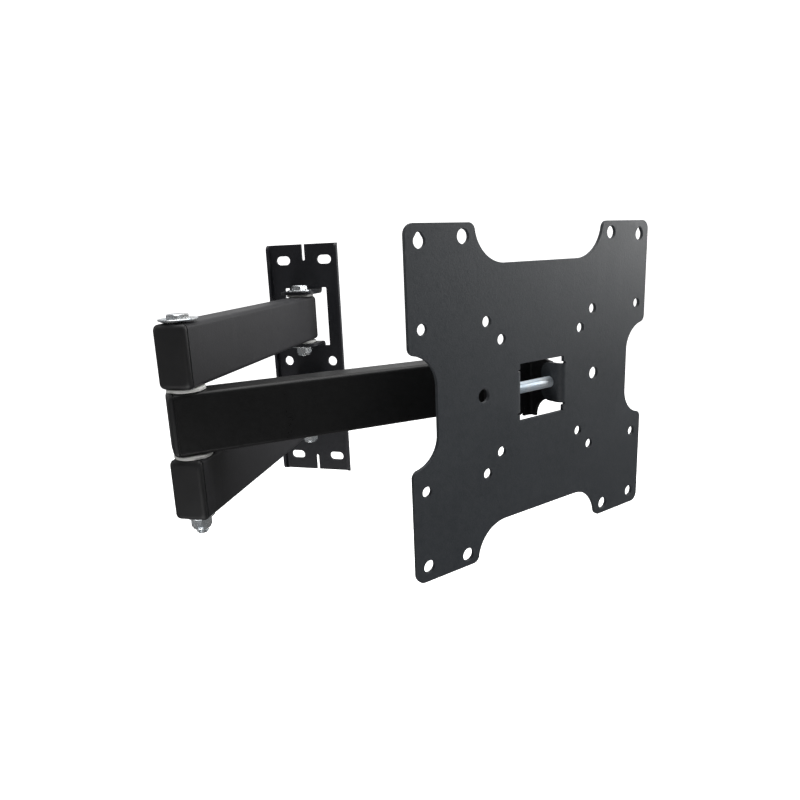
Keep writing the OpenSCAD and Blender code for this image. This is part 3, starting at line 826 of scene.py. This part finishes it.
def makeDishWasher():
    # flat under the head, then a cone up to a rolled rim
    hole = hardware["bolt"] / 2 + hardware["holeGap"]
    far = dish["outer"] / 2
    thick = dish["thickness"]
    edge = dish["edge"]
    seat = dish["seat"]
    rise = dish["rise"]
    lift = dish["bendRise"]
    outline = [
        (hole, edge), (hole + edge, 0), (seat, 0), (seat + dish["bendUnder"], lift),
        (far - edge, rise - lift), (far, rise + edge), (far, rise + thick - edge), (far - edge, rise + thick),
        (seat + dish["bendOver"], thick + lift * 0.8), (seat - dish["bendOver"] / 2, thick),
        (hole + edge, thick), (hole, thick - edge)]
    blank = turned("dishBlank", outline)
    low = reach("elbow_dish_washer", elbowPivot, up)[0]
    setRow(dish["piece"], "elbow_dish_washer", stacks["elbow"], blank, low, 2 * dish["outer"])
    discarded(blank)


makeDishWasher()
print("washers and pads made:", len(rings) + 1)


# studio: pale paper, soft light and the camera

studio = {
    "floorDrop": 0.32,          # floor below the lowest point
    "floorRadius": 5.0,         # flat part of the floor, round the mount
    "sweepRadius": 1.6,         # the paper's curve from floor to wall
    "wallHeight": 7.0,
    "cardHalfWidth": 7.0,
    "cardBehind": 3.2,
    "paperTone": 0.9,
    "paperGlow": 1.0,           # evens the paper out to a plain white
    "cardGlow": 0.45,           # the same paper as the steel sees it
    "worldStrength": 0.12,
    "lightsAimAt": (0.12, -0.1, 0),
    "around": 96,               # steps round the floor
    "sweepSteps": 16,
}
softboxes = {
    "overheadSoftbox": {"place": (0.1, 0.1, 1.9), "size": (2.2, 1.8), "power": 38},
    "rightBackSoftbox": {"place": (1.7, 0.6, 0.6), "size": (1.2, 1.2), "power": 28},
    "leftSoftbox": {"place": (-1.9, -0.5, 0.8), "size": (0.9, 1.4), "power": 5},
    "lowSoftbox": {"place": (0.1, -1.3, -1.2), "size": (1.4, 0.8), "power": 13},
}


def makePaper(name, points, faces, glow):
    sheet = bpy.data.meshes.new(name)
    sheet.from_pydata(points, [], faces)
    sheet.shade_smooth()
    paper = linked(name, sheet)
    material, graph = newFinish(name + "White")[:2]
    tone = studio["paperTone"]
    finishWith(graph, {
        "Base Color": (tone, tone, tone, 1), "Roughness": 0.9, "Specular IOR Level": 0.1,
        "Emission Color": (1, 1, 1, 1), "Emission Strength": glow})
    sheet.materials.append(material)
    return paper


def makeSurround():
    # a pale round floor that curves up into a wall on every side, and a lit card behind the mount
    low = cadBox[0].z - studio["floorDrop"]
    radius = studio["sweepRadius"]
    outline = [(studio["floorRadius"], low)]
    steps = studio["sweepSteps"]
    for i in range(1, steps + 1):
        turn = math.pi / 2 * i / steps
        far = studio["floorRadius"] + radius * math.sin(turn)
        outline.append((far, low + radius * (1 - math.cos(turn))))
    outline.append((outline[-1][0], low + studio["wallHeight"]))
    around = studio["around"]
    points = [(0, 0, low)]
    for far, height in outline:
        for i in range(around):
            turn = math.tau * i / around
            points.append((far * math.cos(turn), far * math.sin(turn), height))
    faces = [(0, 1 + i, 1 + (i + 1) % around) for i in range(around)]
    for rim in range(len(outline) - 1):
        first = 1 + rim * around
        for i in range(around):
            j = (i + 1) % around
            faces.append((first + i, first + around + i, first + around + j, first + j))
    floor = makePaper("studioFloor", points, faces, studio["paperGlow"])
    floor.visible_glossy = False
    floor.visible_diffuse = False
    floor.visible_shadow = False
    half = studio["cardHalfWidth"]
    behind = studio["cardBehind"] + radius
    high = low + half
    corners = [(-half, behind, low), (half, behind, low), (half, behind, high), (-half, behind, high)]
    makePaper("studioCard", corners, [(0, 1, 2, 3)], studio["cardGlow"]).visible_camera = False


def makeLight(name, place, target, size, power):
    lamp = bpy.data.lights.new(name, "AREA")
    lamp.shape = "RECTANGLE"
    lamp.size, lamp.size_y = size
    lamp.energy = power
    holder = bpy.data.objects.new(name, lamp)
    bpy.context.scene.collection.objects.link(holder)
    holder.location = place
    holder.rotation_euler = (Vector(target) - Vector(place)).to_track_quat("-Z", "Y").to_euler()


def makeWorld():
    world = bpy.data.worlds.new("studioAir")
    bpy.context.scene.world = world
    world.use_nodes = True
    world.node_tree.nodes.clear()
    graph = Graph(world.node_tree)
    air = graph.add("ShaderNodeBackground", None, {
        "Color": (1, 1, 1, 1), "Strength": studio["worldStrength"]})
    graph.add("ShaderNodeOutputWorld", None, {"Surface": air})


cameraSetup = {
    "place": (0.23622, -0.55044, 0.09794),
    "yaw": 15.811,              # degrees to the left of straight at the wall
    "pitch": 12.637,            # degrees down
    "roll": 2.537,
    "lens": 27.84,
    "shift": (0.0092, -0.0097),
}


def makeCamera():
    data = bpy.data.cameras.new("studioCamera")
    data.lens = cameraSetup["lens"]
    data.sensor_width = 36
    data.shift_x, data.shift_y = cameraSetup["shift"]
    data.clip_start = 0.01
    data.clip_end = 100
    camera = bpy.data.objects.new("studioCamera", data)
    bpy.context.scene.collection.objects.link(camera)
    tip = math.radians(90 - cameraSetup["pitch"])
    turn = math.radians(cameraSetup["yaw"])
    roll = Matrix.Rotation(math.radians(-cameraSetup["roll"]), 3, "Z")
    aim = Euler((tip, 0, turn)).to_matrix() @ roll
    camera.matrix_world = Matrix.Translation(cameraSetup["place"]) @ aim.to_4x4()
    bpy.context.scene.camera = camera


makeSurround()
makeWorld()
for name, box in softboxes.items():
    makeLight(name, box["place"], studio["lightsAimAt"], box["size"], box["power"])
makeCamera()
bpy.context.scene.view_settings.view_transform = "Standard"
print("studio ready")
